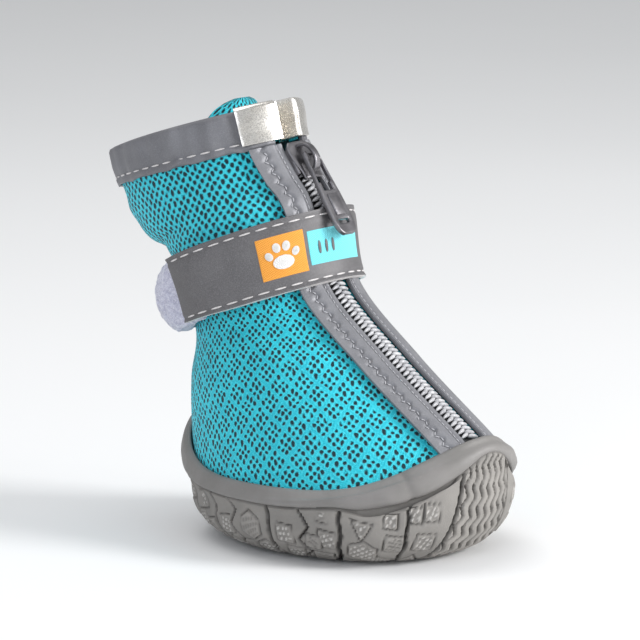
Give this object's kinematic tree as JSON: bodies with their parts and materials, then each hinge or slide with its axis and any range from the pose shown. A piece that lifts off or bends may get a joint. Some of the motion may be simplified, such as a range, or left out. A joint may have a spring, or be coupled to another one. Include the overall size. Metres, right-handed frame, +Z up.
{
  "type": "dog boot",
  "caption": "Small dog boot: rubber cup sole with upturned tread, mesh upper with front zip, bound collar with metal clips, and a wrap-round ankle strap.",
  "frame": {"origin": "on the ground, on the flat of the tread under the middle of the sole, on the boot's centre plane", "axes": "+Z up, toe towards -Y, heel towards +Y, the boot's left side towards +X"},
  "size_m": [0.0586, 0.1024, 0.0945],
  "materials": {
    "rubber": "moulded matt rubber with fine tread",
    "rand": "smooth rubber band",
    "mesh": "open air mesh",
    "reflective": "grey reflective coated webbing with pale stitches",
    "facing": "pale grey reflective tape with scalloped stitching",
    "foam": "cloth-covered foam board",
    "tape": "woven zip tape",
    "coil": "nylon coil chain",
    "nickel": "bright nickel plate",
    "gunmetal": "dark gunmetal plate",
    "loop": "brushed hook-and-loop pile"
  },
  "bodies": {
    "boot": {"outsole": "rubber", "rand": "rand", "insole": "foam", "upper": "mesh", "tongue": "mesh", "collar_binding": "reflective", "zip_facing_left": "facing", "zip_facing_right": "facing", "zip_tape": "tape", "zip_teeth": "coil", "zip_slider": "gunmetal", "clip_left": "nickel", "clip_right": "nickel", "strap": "reflective", "strap_loop_band": "loop"},
    "pull": {"zip_pull": "gunmetal"}
  },
  "joints": [
    {"name": "pull_swing", "type": "hinge", "parent": "boot", "child": "pull", "pos_m": [0, 0.01063, 0.08199], "axis": [-1, 0, 0], "range_deg": [0, 135]}
  ]
}
